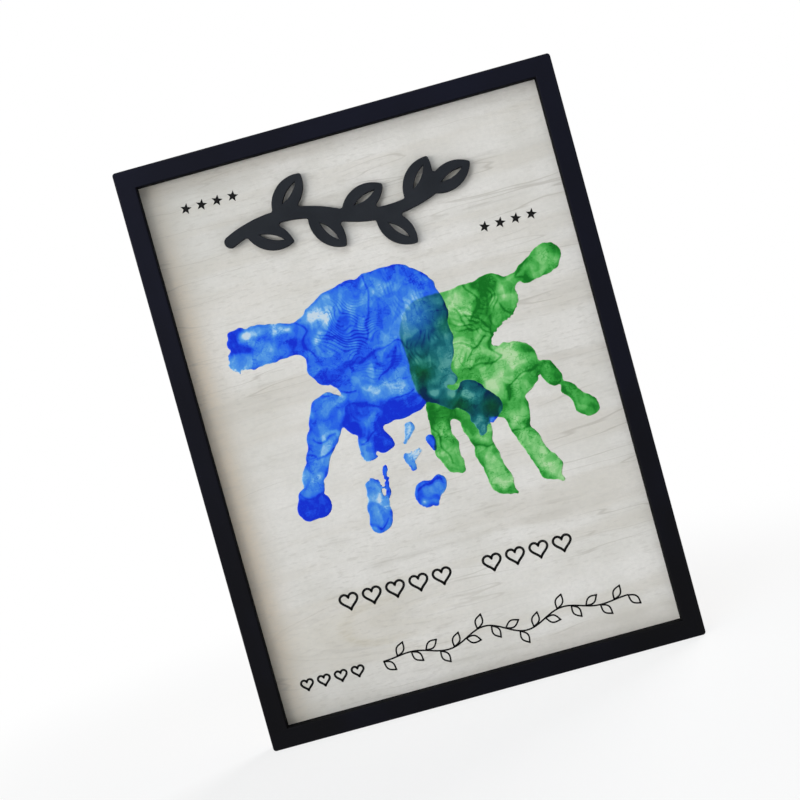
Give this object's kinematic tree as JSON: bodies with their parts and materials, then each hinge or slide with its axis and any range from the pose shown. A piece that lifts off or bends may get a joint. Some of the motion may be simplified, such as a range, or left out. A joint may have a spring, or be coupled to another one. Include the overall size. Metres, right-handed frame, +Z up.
{
  "type": "handprint keepsake frame",
  "caption": "Wall-hung keepsake frame: mitred black moulding round a pale plywood panel with a raised sprig and painted handprints, held in from behind by turn buttons.",
  "frame": {"origin": "the hanger's middle notch, where a wall nail bears, in the plane of the wall", "axes": "+Z up along the frame's height, +X to the right seen from the front, +Y out of the back to the wall"},
  "size_m": [0.2286, 0.0157, 0.3048],
  "materials": {
    "moulding_black": "satin black paint",
    "panel_plywood": "matt whitewash",
    "sprig_black": "matt black paint",
    "blue_paint": "dried acrylic paint",
    "green_paint": "dried acrylic paint",
    "zinc_steel": "zinc plate",
    "hanger_steel": "brassy plate",
    "bumper_rubber": "soft rubber"
  },
  "bodies": {
    "frame": {"top_rail": "moulding_black", "bottom_rail": "moulding_black", "left_stile": "moulding_black", "right_stile": "moulding_black", "print_panel": "panel_plywood", "raised_sprig": "sprig_black", "blue_handprint": "blue_paint", "green_handprint": "green_paint", "corner_v_nails": "zinc_steel", "turn_button_screws": "zinc_steel", "sawtooth_hanger": "hanger_steel", "hanger_nails": "hanger_steel", "bumper_left": "bumper_rubber", "bumper_right": "bumper_rubber"},
    "turn_button_upper_left": {"turn_button_upper_left": "zinc_steel"},
    "turn_button_upper_right": {"turn_button_upper_right": "zinc_steel"},
    "turn_button_lower_left": {"turn_button_lower_left": "zinc_steel"},
    "turn_button_lower_right": {"turn_button_lower_right": "zinc_steel"}
  },
  "joints": [
    {"name": "turn_button_upper_left_turn", "type": "hinge", "parent": "frame", "child": "turn_button_upper_left", "pos_m": [-0.1108, -0.003, -0.0667], "axis": [0, 1, 0], "continuous": true},
    {"name": "turn_button_upper_right_turn", "type": "hinge", "parent": "frame", "child": "turn_button_upper_right", "pos_m": [0.1108, -0.003, -0.0667], "axis": [0, 1, 0], "continuous": true},
    {"name": "turn_button_lower_left_turn", "type": "hinge", "parent": "frame", "child": "turn_button_lower_left", "pos_m": [-0.1108, -0.003, -0.2267], "axis": [0, 1, 0], "continuous": true},
    {"name": "turn_button_lower_right_turn", "type": "hinge", "parent": "frame", "child": "turn_button_lower_right", "pos_m": [0.1108, -0.003, -0.2267], "axis": [0, 1, 0], "continuous": true}
  ]
}
